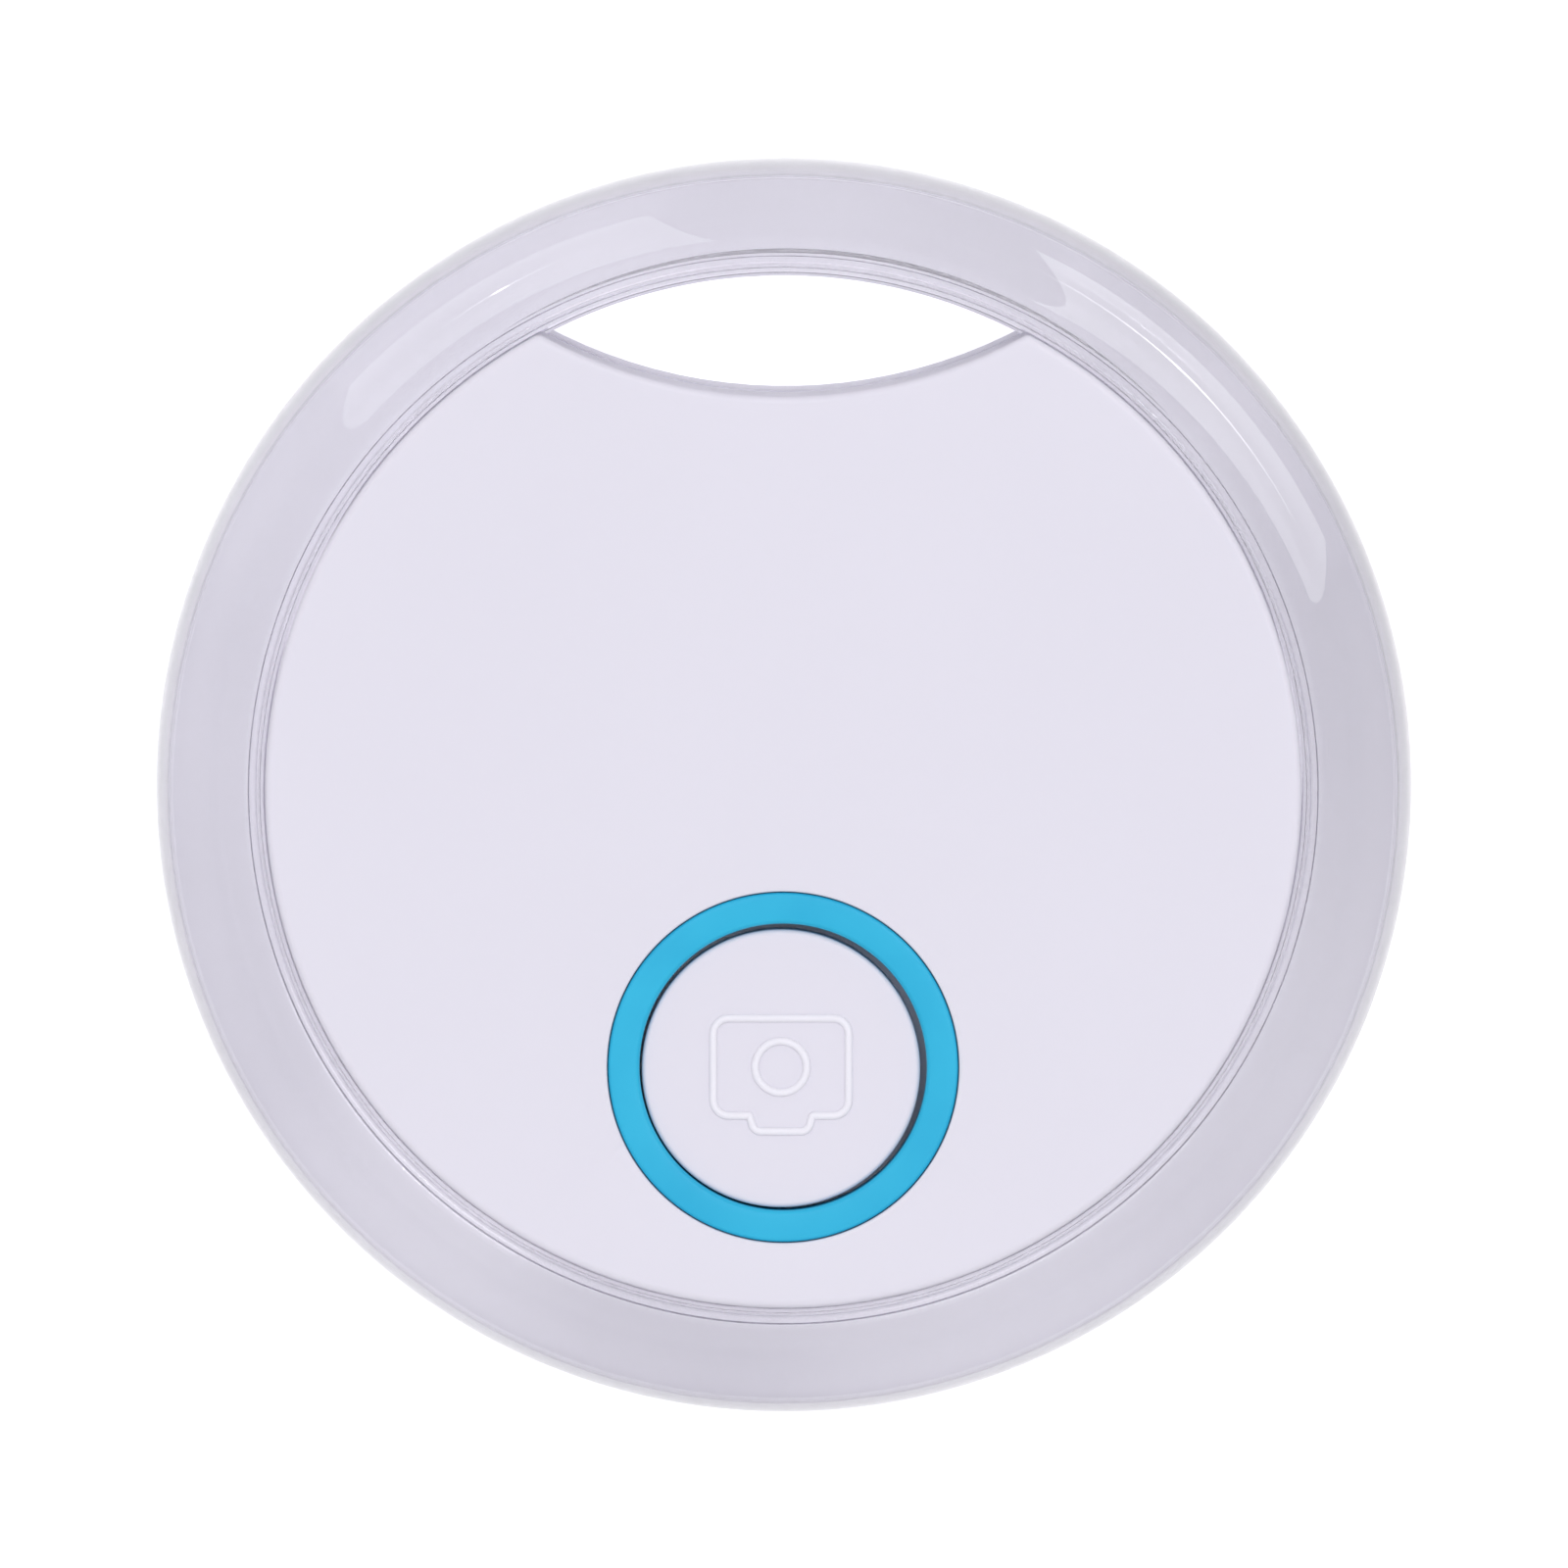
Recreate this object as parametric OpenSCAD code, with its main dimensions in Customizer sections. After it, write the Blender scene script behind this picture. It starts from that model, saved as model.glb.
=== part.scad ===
// Round key-finder tag: two white shells clamp a clear bumper ring and hold a coin cell,
// a radio board, a push button and a buzzer. The tag lies on its back: the front faces +Z,
// the lanyard eye is towards +Y, and the rear face is at z = 0 under the ring's centre.

/* [Case] */
// Radius of the white case
body_r = 16.45; // [16.4:0.05:17.4]
// How far the clear ring stands out from the case
ring_w = 3.55; // [3.25:0.1:4.25]
// Thickness of the case's front wall
front_wall = 1.2; // [1.0:0.1:1.6]
// Thickness of the case's side wall
side_wall = 1.3; // [1.2:0.1:1.4]
// Rounding of the case's visible edges
edge_r = 0.25; // [0.2:0.01:0.35]

/* [Clear ring] */
// Radius of the domed section on the ring's front and back
dome_r = 4.83; // [4.6:0.01:5.4]
// How far the ring's crest lies behind the case's front face
ring_inset = 0.4; // [0.3:0.1:0.8]
// Rounding between the dome and the flank
rim_fillet = 0.9; // [0.7:0.05:1.1]
// Radius of the bowed flank between the dome and the rim's flat
flank_r = 6; // [5.5:0.25:8]
// Height of the flat round the ring's middle
rim_flat = 1.5; // [1:0.1:2]

/* [Lanyard eye] */
// Radius of the round bite in the case's edge
bite_r = 16.27; // [16:0.01:17.5]
// Distance from the centre to the bite's lowest point
bite_low = 12.55; // [12.5:0.05:12.9]

/* [Button] */
// Distance of the button below the centre
button_drop = 8.78; // [8.7:0.02:8.9]
// Outer radius of the accent ring
accent_ro = 5.56; // [5.4:0.02:5.6]
// Inner radius of the accent ring
accent_ri = 4.56; // [4.56:0.02:4.7]
// Radius of the button cap
cap_r = 4.42; // [4.3:0.02:4.42]
// Play by which the cap rests off the centre of its ring
cap_play = 0.09; // [0:0.01:0.1]
// Push-button travel
press = 0.25; // [0.15:0.05:0.25]
// Height of the raised camera symbol
symbol_h = 0.06; // [0.04:0.01:0.1]

/* [Battery door] */
// Radius of the door's disc
door_r = 12.1; // [12.0:0.05:12.2]
// Thickness of the door
door_t = 1.2; // [1.1:0.05:1.3]
// How far the door's lugs stand out
lug_w = 0.85; // [0.7:0.05:0.9]
// Turn that takes the door from locked to free, in degrees
door_turn = 60; // [50:5:70]
// How far the door comes out over that turn
door_lift = 1.9; // [1.8:0.05:2.0]

/* [Coin cell] */
// Diameter of the coin cell
cell_d = 20; // [19.8:0.1:20]
// Height of the coin cell
cell_h = 3.2; // [3.0:0.1:3.2]

/* [Board] */
// Thickness of the circuit board
board_t = 0.8; // [0.6:0.1:0.8]
// Room in front of the board
front_room = 1.75; // [1.75:0.05:2]

/* [Hidden] */
$fn = 96;
eps = 0.01;
gap = 0.05;                          // between pieces that don't move
ring_r = body_r + ring_w;
contact_room = 0.35;                 // between the cell and the board
z_cell_top = door_t + cell_h;
z_board = z_cell_top + contact_room;
z_top_side = z_board + board_t;      // the board's component side
z_wall = z_top_side + front_room;    // inside face of the front wall
case_t = z_wall + front_wall;
z_part = case_t / 2;                 // parting plane of the two shells
bite_y = bite_low + bite_r;
inner_r = body_r - side_wall;

// Ring
ring_bore = body_r + gap;
ring_top = case_t - ring_inset;
dome_x = ring_bore + 0.65;
tongue_in = 0.25;                    // how far the ring's tongue reaches into the shells
tongue_h = 1.7;
dome_c = [dome_x, ring_top - dome_r];
flank_c = [ring_r - flank_r, z_part + rim_flat / 2];
span = norm(flank_c - dome_c);
way = (flank_c - dome_c) / span;
reach_dome = dome_r - rim_fillet;    // from the dome's centre to the fillet's
reach_flank = flank_r - rim_fillet;
along = (reach_dome ^ 2 - reach_flank ^ 2 + span ^ 2) / (2 * span);
across = sqrt(reach_dome ^ 2 - along ^ 2);
fillet_c = dome_c + along * way + across * [way[1], -way[0]];
dome_end = dome_c + (fillet_c - dome_c) * dome_r / reach_dome;
flank_end = flank_c + (fillet_c - flank_c) * flank_r / reach_flank;
groove_r = 0.2;                      // small round groove inside the dome
groove_x = ring_bore + 0.3;

// Rear shell and door
cell_y = -1.9;                       // the cell and the door are below the ring's centre
rear_wall = 1.2;
opening_r = door_r + 0.1;
seat_z = door_t + 0.5;               // underside of the seal's seat
seat_t = 0.6;
bay_r = cell_d / 2 + 0.25;
bay_wall = 1.0;
lug_angle = 10;
lug_z = 0.75;
lug_t = 0.4;
lug_gap = 0.15;                      // room above and below a lug in its groove
lug_count = 3;
slope = door_lift / door_turn;       // millimetres out for each degree
collar_r = opening_r + lug_w + 0.75;
seal_r = 0.42;
gland_w = 0.9;
gland_depth = 0.4;
seal_x = 11.2;
slot_l = 13;
slot_w = 1.7;
slot_depth = 0.6;
rear_edge_r = 0.5;
door_edge_r = 0.15;
dot_r = 0.35;                        // index dots on the door and beside it
dot_depth = 0.15;

// Front shell's bosses and the board's screws
screws = [[9.4, 9.0], [-9.4, 9.0], [12.8, -4.0], [-12.8, -4.0]];
boss_r = 1.5;
pilot_r = 0.6;
pilot_deep = 0.4;                    // how far the pilot goes on into the front wall
head_r = 1.15;
head_h = 0.45;

// Button and switch
switch_side = 5.2;
switch_base_h = 0.6;
switch_cover_t = 0.15;
stem_r = 1.05;
z_switch_top = z_top_side + switch_base_h;
z_stem_top = z_switch_top + switch_cover_t + press;  // level with the cover when pressed home
dome_base_r = 1.8;
dome_rise = 0.26;
dome_t = 0.07;
dome_sphere_r = (dome_base_r ^ 2 + dome_rise ^ 2) / (2 * dome_rise);
accent_top = case_t - 0.05;
accent_bottom = z_wall - 0.35;
accent_flange_r = accent_ro + 0.5;
accent_fit = 0.03;                   // between the accent ring and its hole
accent_soft = 0.12;                  // rounding of the accent ring's top edges
cap_top = case_t - 0.27;
cap_edge_r = 0.14;
cap_wall = 0.85;
cap_post_r = 1.2;                    // post under the cap that rests on the switch's stem
cap_flange_r = accent_ri + 0.5;
cap_flange_t = 0.31;
cap_shift = [-cap_play * 0.8, -cap_play * 0.6];

// Camera symbol: centre line of the outline, with the hump away from the lanyard eye
symbol_w = 4.3;
symbol_tall = 3.1;
symbol_round = 0.5;
symbol_line = 0.25;
hump_w = 2.0;
hump_end_w = 1.35;
hump_h = 0.62;
lens_r = 0.82;
symbol_drop = 0.05;

// Buzzer
buzzer_y = 3.4;
buzzer_r = 5.8;
plate_t = 0.12;
ceramic_r = 4.2;
ceramic_t = 0.13;
glue_t = 0.1;
z_plate = z_wall - glue_t - plate_t;
z_ceramic = z_plate - ceramic_t;

// ---- shared shapes ----

// A tube standing on z
module tube(ro, ri, h) {
    difference() {
        cylinder(r = ro, h = h);
        translate([0, 0, -eps]) cylinder(r = ri, h = h + 2 * eps);
    }
}

// Half profile of a disc from the axis, with its top outer corner rounded
module rounded_half(r, h, f) {
    square([r - f, h]);
    square([r, h - f]);
    translate([r - f, h - f]) circle(r = f);
}

// Round bite that gives the lanyard eye, flared at the top by the case's edge rounding
module bite_cutter(h, f) {
    translate([0, bite_y, 0]) {
        translate([0, 0, -eps]) cylinder(r = bite_r, h = h + 2 * eps, $fn = 192);
        rotate_extrude($fn = 192)
            difference() {
                translate([bite_r - 1, h - f]) square([1 + f, f + eps]);
                translate([bite_r + f, h - f]) circle(r = f);
            }
    }
}

// Space inside the shells, with a wall left along the bite
module cavity(h) {
    difference() {
        cylinder(r = inner_r, h = h);
        translate([0, bite_y, -eps]) cylinder(r = bite_r + side_wall, h = h + 2 * eps);
    }
}

// Step in a shell's outer wall that takes half of the ring's tongue
module tongue_rebate() {
    translate([0, 0, -eps])
        tube(body_r + 1, body_r - tongue_in - gap, tongue_h / 2 + gap + eps);
}

// Ramped groove for one lug: a tilted slab within a sector of a ring. Over this short way
// the slab's faces stay within a few hundredths of a millimetre of a true helix
module ramp_groove() {
    a_lo = -door_turn * 0.75;
    a_hi = lug_angle / 2 + 1;
    a_mid = (a_lo + a_hi) / 2;
    ri = opening_r - 0.4;
    ro = door_r + lug_w + 0.15;
    r_mean = (opening_r + ro) / 2;
    tilt = atan(slope * 180 / PI / r_mean);
    h = lug_t + slope * lug_angle + 2 * lug_gap;
    intersection() {
        rotate([0, 0, a_lo])
            rotate_extrude(angle = a_hi - a_lo) translate([ri, -2]) square([ro - ri, 4]);
        rotate([0, 0, a_mid])
            translate([r_mean, 0, lug_z + lug_t / 2 + slope * a_mid])
                rotate([tilt, 0, 0])
                    translate([-3, -8, -h / 2]) cube([6, 16, h]);
    }
}

// Puts children at each of the door's lugs
module at_lugs() {
    for (i = [0:lug_count - 1])
        translate([0, cell_y, 0]) rotate([0, 0, 90 + i * 360 / lug_count]) children();
}

// A round wire that runs level along X, then bends down to the board
module wire(from, run, r) {
    bend = 0.5;
    drop = from[2] - bend - z_top_side;
    translate(from) {
        rotate([0, 90, 0]) cylinder(r = r, h = run, $fn = 24);
        translate([run, 0, -bend]) {
            rotate([90, 0, 0])
                rotate_extrude(angle = 90, $fn = 48) translate([bend, 0]) circle(r = r, $fn = 24);
            translate([bend, 0, -drop]) cylinder(r = r, h = drop, $fn = 24);
        }
    }
}

// ---- case ----

// Upper half of the ring's section, above the parting plane: dome, fillet, flank and flat
module ring_half_section() {
    core_x = dome_end[0] - 0.5;
    intersection() {
        translate(dome_c) circle(r = dome_r, $fn = 240);
        translate([ring_bore, z_part]) square([dome_end[0] - ring_bore, case_t]);
    }
    translate(fillet_c) circle(r = rim_fillet);
    intersection() {
        translate(flank_c) circle(r = flank_r, $fn = 240);
        translate([core_x, z_part]) square([flank_r, flank_end[1] - z_part]);
    }
    translate([core_x, z_part]) square([ring_r - core_x, rim_flat / 2]);
}

module clear_ring() {
    color("lavender", 0.45)
        rotate_extrude($fn = 240)
            union() {
                difference() {
                    union() {
                        ring_half_section();
                        translate([0, case_t]) mirror([0, 1]) ring_half_section();
                    }
                    translate([groove_x, ring_top]) circle(r = groove_r, $fn = 32);
                    translate([groove_x, case_t - ring_top]) circle(r = groove_r, $fn = 32);
                }
                translate([ring_bore - tongue_in, z_part - tongue_h / 2])
                    square([tongue_in + 0.2, tongue_h]);
            }
}

module front_shell() {
    h = case_t - z_part;
    color("ghostwhite")
        translate([0, 0, z_part])
            difference() {
                union() {
                    difference() {
                        rotate_extrude($fn = 240) rounded_half(body_r, h, edge_r);
                        translate([0, 0, -eps]) cavity(z_wall - z_part + eps);
                    }
                    for (p = screws)
                        translate([p[0], p[1], z_top_side - z_part])
                            cylinder(r = boss_r, h = front_room + 0.1);
                }
                bite_cutter(h, edge_r);
                tongue_rebate();
                for (p = screws)
                    translate([p[0], p[1], z_top_side - z_part - eps])
                        cylinder(r = pilot_r, h = front_room + pilot_deep, $fn = 32);
                translate([0, -button_drop, 0]) {
                    cylinder(r = accent_ro + accent_fit, h = h + 1);
                    translate([0, 0, h - 0.06])
                        cylinder(r1 = accent_ro + accent_fit, r2 = accent_ro + accent_fit + 0.07,
                                 h = 0.07);
                }
            }
}

module rear_shell() {
    color("ghostwhite")
        difference() {
            union() {
                difference() {
                    translate([0, 0, z_part]) mirror([0, 0, 1])
                        rotate_extrude($fn = 240) rounded_half(body_r, z_part, rear_edge_r);
                    translate([0, 0, rear_wall]) cavity(z_part);
                }
                translate([0, cell_y, rear_wall / 2])
                    cylinder(r = collar_r, h = seat_z + seat_t - rear_wall / 2);
                translate([0, cell_y, seat_z])
                    cylinder(r = bay_r + bay_wall, h = z_cell_top - seat_z);
            }
            translate([0, 0, z_part]) mirror([0, 0, 1]) {
                bite_cutter(z_part, rear_edge_r);
                tongue_rebate();
            }
            translate([0, cell_y, -eps]) {
                cylinder(r = opening_r, h = seat_z + eps);
                cylinder(r = bay_r, h = case_t);
            }
            // slot that lets the side contact reach the cell
            translate([-bay_r - bay_wall - 0.5, cell_y - 1.8, seat_z + seat_t])
                cube([bay_wall + 1.5, 3.6, case_t]);
            at_lugs()
                ramp_groove();
            // index dot beside the door
            translate([0, -15.3, -eps]) cylinder(r = dot_r, h = dot_depth + eps, $fn = 32);
        }
}

// ---- button ----

module accent_ring() {
    color("deepskyblue")
        translate([0, -button_drop, 0])
            rotate_extrude($fn = 180)
                union() {
                    translate([accent_ri, accent_bottom])
                        square([accent_ro - accent_ri, accent_top - accent_bottom - accent_soft]);
                    translate([accent_ri + accent_soft, accent_bottom])
                        square([accent_ro - accent_ri - 2 * accent_soft, accent_top - accent_bottom]);
                    for (x = [accent_ri + accent_soft, accent_ro - accent_soft])
                        translate([x, accent_top - accent_soft]) circle(r = accent_soft, $fn = 32);
                    translate([accent_ri, accent_bottom])
                        square([accent_flange_r - accent_ri, z_wall - accent_bottom - 0.02]);
                }
}

// Centre line of the camera outline, as a filled shape with its hump towards -Y
module camera_shape() {
    offset(r = symbol_round) offset(delta = -symbol_round)
        square([symbol_w, symbol_tall], center = true);
    offset(r = 0.2) offset(delta = -0.2)
        polygon([[-hump_w / 2, -symbol_tall / 2 + 0.5], [hump_w / 2, -symbol_tall / 2 + 0.5],
                 [hump_w / 2, -symbol_tall / 2], [hump_end_w / 2, -symbol_tall / 2 - hump_h],
                 [-hump_end_w / 2, -symbol_tall / 2 - hump_h], [-hump_w / 2, -symbol_tall / 2]]);
}

module camera_symbol() {
    translate([0, symbol_drop, 0])
        linear_extrude(symbol_h + 0.05)
            difference() {
                offset(r = symbol_line / 2, $fn = 32) camera_shape($fn = 32);
                offset(r = -symbol_line / 2, $fn = 32) camera_shape($fn = 32);
            }
    translate([0, symbol_drop, 0])
        tube(lens_r + symbol_line / 2, lens_r - symbol_line / 2, symbol_h + 0.05);
}

module button_cap() {
    flange_z = accent_bottom - cap_flange_t - 0.02;
    hollow_r = cap_r - cap_wall;
    color("ghostwhite")
        translate([cap_shift[0], cap_shift[1] - button_drop, 0]) {
            difference() {
                union() {
                    translate([0, 0, flange_z])
                        rotate_extrude($fn = 180) rounded_half(cap_r, cap_top - flange_z, cap_edge_r);
                    translate([0, 0, flange_z]) cylinder(r = cap_flange_r, h = cap_flange_t);
                }
                translate([0, 0, flange_z - eps])
                    cylinder(r = hollow_r, h = cap_top - cap_wall - flange_z);
            }
            translate([0, 0, z_stem_top]) cylinder(r = cap_post_r, h = cap_top - z_stem_top - 0.3);
            translate([0, 0, cap_top - 0.05]) camera_symbol();
        }
}

module switch_base() {
    color("dimgray")
        translate([0, -button_drop, z_top_side])
            difference() {
                translate([-switch_side / 2, -switch_side / 2, 0])
                    cube([switch_side, switch_side, switch_base_h]);
                translate([0, 0, switch_base_h - 0.35]) cylinder(r = dome_base_r + 0.1, h = 1);
            }
}

module switch_dome() {
    color("silver")
        translate([0, -button_drop, z_switch_top - 0.33])
            intersection() {
                translate([0, 0, dome_rise - dome_sphere_r])
                    difference() {
                        sphere(r = dome_sphere_r + dome_t / 2);
                        sphere(r = dome_sphere_r - dome_t / 2);
                    }
                cylinder(r = dome_base_r, h = 1);
            }
}

module switch_stem() {
    color("black")
        translate([0, -button_drop, z_switch_top - 0.03])
            cylinder(r = stem_r, h = z_stem_top - z_switch_top + 0.03);
}

module switch_cover() {
    color("silver")
        translate([0, -button_drop, z_switch_top])
            difference() {
                translate([-switch_side / 2, -switch_side / 2, 0])
                    cube([switch_side, switch_side, switch_cover_t]);
                translate([0, 0, -eps]) cylinder(r = stem_r + 0.1, h = 1);
            }
}

// ---- battery door and cell ----

module battery_door() {
    color("ghostwhite")
        union() {
            translate([0, cell_y, 0])
                difference() {
                    translate([0, 0, door_t]) mirror([0, 0, 1])
                        rotate_extrude($fn = 240) rounded_half(door_r, door_t, door_edge_r);
                    translate([0, 0, door_t - gland_depth])
                        tube(seal_x + gland_w / 2, seal_x - gland_w / 2, 1);
                    // coin slot with round ends
                    translate([-slot_l / 2, -slot_w / 2, -eps])
                        cube([slot_l, slot_w, slot_depth + eps]);
                    for (side = [-1, 1])
                        translate([side * slot_l / 2, 0, -eps])
                            cylinder(r = slot_w / 2, h = slot_depth + eps);
                    // index dot
                    translate([0, -10.4, -eps]) cylinder(r = dot_r, h = dot_depth + eps, $fn = 32);
                }
            at_lugs()
                rotate([0, 0, -lug_angle / 2])
                    translate([0, 0, lug_z])
                        rotate_extrude(angle = lug_angle)
                            translate([door_r - 0.3, 0]) square([lug_w + 0.3, lug_t]);
        }
}

module door_seal() {
    color("black")
        translate([0, cell_y, door_t - gland_depth + seal_r])
            rotate_extrude($fn = 180) translate([seal_x, 0]) circle(r = seal_r, $fn = 48);
}

module cell_can() {
    wall = 0.3;
    lip_z = cell_h - 0.35;
    color("silver")
        translate([0, cell_y, door_t])
            difference() {
                translate([0, 0, lip_z]) mirror([0, 0, 1])
                    rotate_extrude($fn = 180) rounded_half(cell_d / 2, lip_z, 0.3);
                translate([0, 0, 0.25]) cylinder(r = cell_d / 2 - wall, h = cell_h);
            }
}

module cell_gasket() {
    color("dimgray")
        translate([0, cell_y, door_t + 0.25])
            tube(cell_d / 2 - 0.3, cell_d / 2 - 0.9, cell_h - 0.5);
}

module cell_cap() {
    color("gainsboro")
        translate([0, cell_y, door_t + 0.25])
            rotate_extrude($fn = 180)
                union() {
                    square([cell_d / 2 - 0.9, cell_h - 0.75]);
                    rounded_half(cell_d / 2 - 1.3, cell_h - 0.25, 0.3);
                }
}

module contact_positive() {
    // side leaf that presses on the can, folded onto the board
    leaf_t = 0.15;
    leaf_w = 3;
    leaf_x = -cell_d / 2 - 0.06 - leaf_t;
    color("gold")
        translate([0, cell_y - leaf_w / 2, 0]) {
            translate([leaf_x, 0, z_part - 1.6]) cube([leaf_t, leaf_w, z_board - z_part + 1.6]);
            translate([leaf_x - 1.4, 0, z_board - leaf_t]) cube([1.5, leaf_w, leaf_t]);
        }
}

module contact_negative() {
    // three-armed leaf soldered under the board
    leaf_t = 0.12;
    color("gold")
        translate([0, cell_y, 0]) {
            translate([0, 0, z_board - leaf_t]) cylinder(r = 2.2, h = leaf_t);
            for (a = [90, 210, 330])
                rotate([0, 0, a]) {
                    translate([1, -0.6, z_board - 2 * leaf_t]) cube([5, 1.2, leaf_t + eps]);
                    translate([5.4, 0, z_cell_top + 0.02])
                        cylinder(r = 0.5, h = z_board - 1.5 * leaf_t - z_cell_top, $fn = 32);
                }
        }
}

// ---- board and what it carries ----

module circuit_board() {
    color("darkgreen")
        translate([0, 0, z_board])
            difference() {
                cylinder(r = inner_r - 0.2, h = board_t);
                translate([0, bite_y, -eps]) cylinder(r = bite_r + side_wall + 0.2, h = 1);
                for (p = screws)
                    translate([p[0], p[1], -eps]) cylinder(r = pilot_r + 0.1, h = 1, $fn = 32);
            }
}

module board_screws() {
    color("silver")
        for (p = screws)
            translate([p[0], p[1], 0])
                difference() {
                    union() {
                        translate([0, 0, z_board - head_h]) cylinder(r = head_r, h = head_h);
                        translate([0, 0, z_board - eps])
                            cylinder(r = pilot_r - 0.02, h = board_t + front_room, $fn = 32);
                    }
                    for (a = [0, 90])
                        rotate([0, 0, a])
                            translate([-0.7, -0.12, z_board - head_h - eps])
                                cube([1.4, 0.24, 0.25]);
                }
}

// A flat chip on the board's component side, with its middle at a point
module chip(at, size) {
    translate([at[0] - size[0] / 2, at[1] - size[1] / 2, z_top_side]) cube(size);
}

module radio_chip() {
    color("black")
        difference() {
            chip([-6.6, -2.2], [5, 5, 0.85]);
            translate([-8.5, -0.3, z_top_side + 0.75]) cylinder(r = 0.3, h = 1, $fn = 32);
        }
}

module crystal_can() {
    color("silver") chip([-11.2, 1.0], [2.5, 3.2, 0.7]);
}

module antenna_trace() {
    // meander of copper along the board's edge at the lanyard eye
    pitch = 1.6;
    legs = 7;
    leg_y = 6.7;
    leg_l = 2.0;
    line = 0.4;
    t = 0.05;
    color("goldenrod")
        translate([-pitch * (legs - 1) / 2 - line / 2, leg_y, z_top_side]) {
            for (i = [0:legs - 1]) {
                translate([i * pitch, 0, 0]) cube([line, leg_l, t]);
                if (i < legs - 1)
                    translate([i * pitch, i % 2 == 0 ? leg_l - line : 0, 0])
                        cube([pitch + line, line, t]);
            }
        }
}

module chip_passives() {
    // small two-ended parts in rows beside the radio chip
    color("tan")
        for (row = [0:1], i = [0:4])
            chip([-2.7 + row * 1.8, -4.2 + i * 1.0], [1.0, 0.5, 0.5]);
}

module status_led() {
    color("lightcyan") chip([11.6, 1.4], [1.6, 0.8, 0.6]);
}

module buzzer_plate() {
    color("gold")
        translate([0, buzzer_y, z_plate]) cylinder(r = buzzer_r, h = plate_t);
}

module buzzer_ceramic() {
    color("gainsboro")
        translate([0, buzzer_y, z_ceramic]) cylinder(r = ceramic_r, h = ceramic_t);
}

module buzzer_glue() {
    color("khaki")
        translate([0, buzzer_y, z_wall - glue_t]) tube(buzzer_r, buzzer_r - 1.2, glue_t);
}

module buzzer_leads() {
    // one lead from the ceramic and one from the plate, soldered to the board
    r = 0.15;
    color("firebrick") wire([3.0, buzzer_y + 1, z_ceramic - r], 2.2, r);
    color("black") wire([5.0, buzzer_y - 1, z_plate - r], 1.6, r);
}

clear_ring();
front_shell();
rear_shell();
accent_ring();
button_cap();
battery_door();
door_seal();
cell_can();
cell_gasket();
cell_cap();
circuit_board();
board_screws();
radio_chip();
crystal_can();
antenna_trace();
chip_passives();
status_led();
switch_base();
switch_dome();
switch_stem();
switch_cover();
buzzer_plate();
buzzer_ceramic();
buzzer_glue();
buzzer_leads();
contact_positive();
contact_negative();
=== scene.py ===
"""Round key-finder tag: looks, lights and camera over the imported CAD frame.

The tag lies on its back, front face up (+Z), lanyard eye towards +Y. Sizes here are in
millimetres and are turned into metres where meshes are made.
"""
import math

import bmesh
import bpy
from mathutils import Matrix, Vector


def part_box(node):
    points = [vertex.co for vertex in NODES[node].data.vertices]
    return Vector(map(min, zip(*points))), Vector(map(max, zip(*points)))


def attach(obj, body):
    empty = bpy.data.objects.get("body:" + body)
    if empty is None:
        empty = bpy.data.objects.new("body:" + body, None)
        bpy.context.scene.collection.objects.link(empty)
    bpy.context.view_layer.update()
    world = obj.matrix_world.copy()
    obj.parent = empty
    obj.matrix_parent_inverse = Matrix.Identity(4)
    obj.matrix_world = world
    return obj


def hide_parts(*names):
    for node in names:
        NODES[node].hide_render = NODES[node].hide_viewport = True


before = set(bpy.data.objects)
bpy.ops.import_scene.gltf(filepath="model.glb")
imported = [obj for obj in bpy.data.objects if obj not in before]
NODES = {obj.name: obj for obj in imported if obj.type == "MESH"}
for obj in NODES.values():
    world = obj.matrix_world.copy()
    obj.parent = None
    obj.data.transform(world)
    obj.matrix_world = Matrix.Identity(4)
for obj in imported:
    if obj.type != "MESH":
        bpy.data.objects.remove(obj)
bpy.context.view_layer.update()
MM = 0.001
ON_AXIS = 1e-6


# ---- sizes, from the frame where it holds them ----

def low_high(node):
    """A CAD node's lowest and highest corner, in millimetres."""
    low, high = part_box(node)
    return low / MM, high / MM


RING_HIGH = low_high("clear_ring")[1]
SHELL_HIGH = low_high("front_shell")[1]
ACCENT_LOW, ACCENT_HIGH = low_high("accent_ring")
CAP_LOW, CAP_HIGH = low_high("button_cap")
STEM_TOP = low_high("switch_stem")[1].z

# Case: round outline with the bite of the lanyard eye, and the step that holds the ring's tongue
CASE_T = SHELL_HIGH.z
MID_Z = CASE_T / 2
BODY_R = 16.45
BITE_R = 16.27
BITE_Y = 12.55 + BITE_R
TIP_R = 0.3
SHARP_TIP = 0.06
EDGE_R = 0.25
FRONT_WALL = 1.2
SIDE_WALL = 1.3
TONGUE_IN = 0.25
TONGUE_H = 1.7
TONGUE_PLAY = 0.05

# Clear ring: dome, rim fillet, bowed flank and flat, with a small groove beside the bore
RING_R = RING_HIGH.x
RING_TOP = RING_HIGH.z
BORE_R = BODY_R + 0.05
DOME_R = 4.83
DOME_X = BORE_R + 0.65
RIM_FILLET = 0.9
FLANK_R = 6.0
RIM_FLAT = 1.5
GROOVE_R = 0.2
GROOVE_X = BORE_R + 0.3
RING_SEGMENTS = 512

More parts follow.
